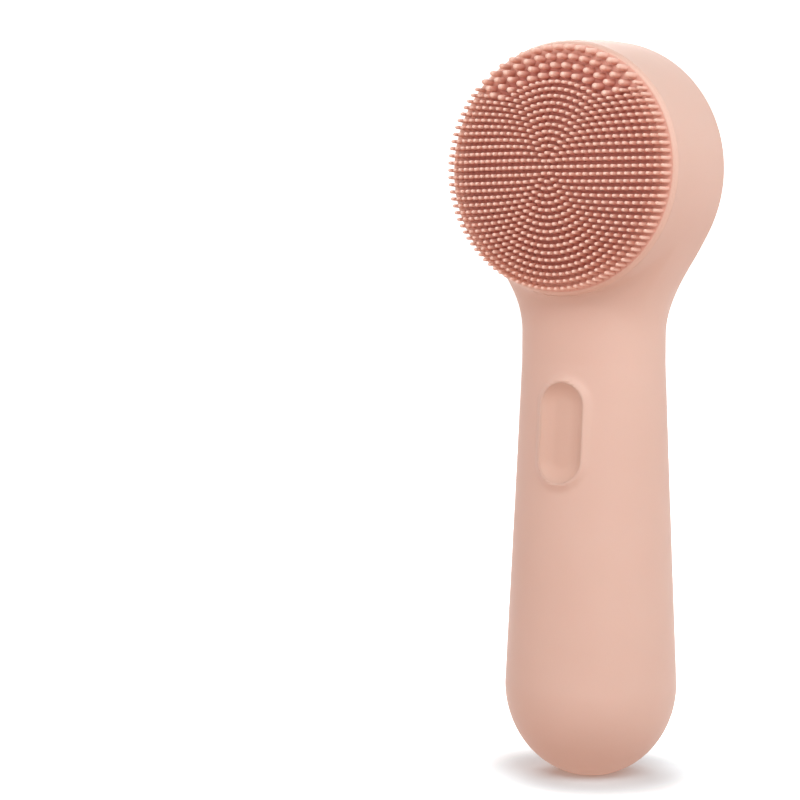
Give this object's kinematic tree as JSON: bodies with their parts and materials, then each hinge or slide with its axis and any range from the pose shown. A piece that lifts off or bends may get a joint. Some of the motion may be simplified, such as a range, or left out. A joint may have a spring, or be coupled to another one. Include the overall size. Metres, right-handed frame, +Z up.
{
  "type": "facial cleansing brush",
  "caption": "Hand-held face brush with a round head of soft silicone nubs, a ridged back, a push button and a charging-port flap.",
  "frame": {"origin": "centre of the small flat under the handle that the brush stands on", "axes": "+Z up the handle to the head, -Y out of the nub face and button, +Y out of the ridged back and charging flap, +X across"},
  "size_m": [0.0582, 0.0426, 0.1649],
  "materials": {
    "silicone": "soft-touch matte silicone, dusty pink",
    "gloss_panel": "glossy hard plastic, lighter rose",
    "shell": "fine matte moulded plastic",
    "seal": "soft dark rubber",
    "board": "solder-masked board",
    "black_plastic": "matte black plastic",
    "clear_plastic": "milky plastic",
    "steel": "brushed steel",
    "weight_metal": "turned brass",
    "cell_wrap": "shrink-wrap film",
    "red_wire": "wire insulation",
    "black_wire": "wire insulation"
  },
  "bodies": {
    "brush": {"outer_skin": "silicone", "nub_pad": "silicone", "gloss_panel": "gloss_panel", "front_shell": "shell", "rear_shell": "shell", "battery_tray": "shell", "shell_gasket": "seal", "charge_socket_seal": "seal", "motor_boot": "seal", "battery_foam": "seal", "main_board": "board", "charge_board": "board", "switch_body": "black_plastic", "control_chip": "black_plastic", "charge_socket_tongue": "black_plastic", "motor_end_cap": "black_plastic", "charge_led": "clear_plastic", "wire_socket": "clear_plastic", "charge_socket_shell": "steel", "battery_cap": "steel", "motor_can": "steel", "motor_bracket": "steel", "shell_screw_1": "steel", "shell_screw_2": "steel", "shell_screw_3": "steel", "shell_screw_4": "steel", "shell_screw_5": "steel", "shell_screw_6": "steel", "charge_board_screw_1": "steel", "charge_board_screw_2": "steel", "board_screw_1": "steel", "board_screw_2": "steel", "bracket_screw_1": "steel", "bracket_screw_2": "steel", "battery_cell": "cell_wrap", "battery_lead_plus": "red_wire", "motor_lead_plus": "red_wire", "charge_lead_plus": "red_wire", "battery_lead_minus": "black_wire", "motor_lead_minus": "black_wire", "charge_lead_minus": "black_wire"},
    "button": {"power_button": "silicone", "button_actuator": "shell"},
    "switch": {"switch_stem": "clear_plastic"},
    "flap": {"port_flap": "silicone"},
    "rotor": {"motor_shaft": "steel", "eccentric_weight": "weight_metal"}
  },
  "joints": [
    {"name": "button_press", "type": "slide", "parent": "brush", "child": "button", "axis": [0, 1, 0], "range_m": [0, 0.0006], "stiffness_N_per_m": 1500},
    {"name": "switch_stem_slide", "type": "slide", "parent": "brush", "child": "switch", "axis": [0, 1, 0], "range_m": [0, 0.0006]},
    {"name": "flap_open", "type": "hinge", "parent": "brush", "child": "flap", "pos_m": [0, 0.0187, 0.0153], "axis": [-1, 0, 0], "range_deg": [0, 100]},
    {"name": "rotor_spin", "type": "hinge", "parent": "brush", "child": "rotor", "pos_m": [0, -0.001, 0.133], "axis": [0, 0, 1], "continuous": true}
  ],
  "couplings": [
    {"joint": "switch_stem_slide", "follows": "button_press", "ratio": 1}
  ]
}
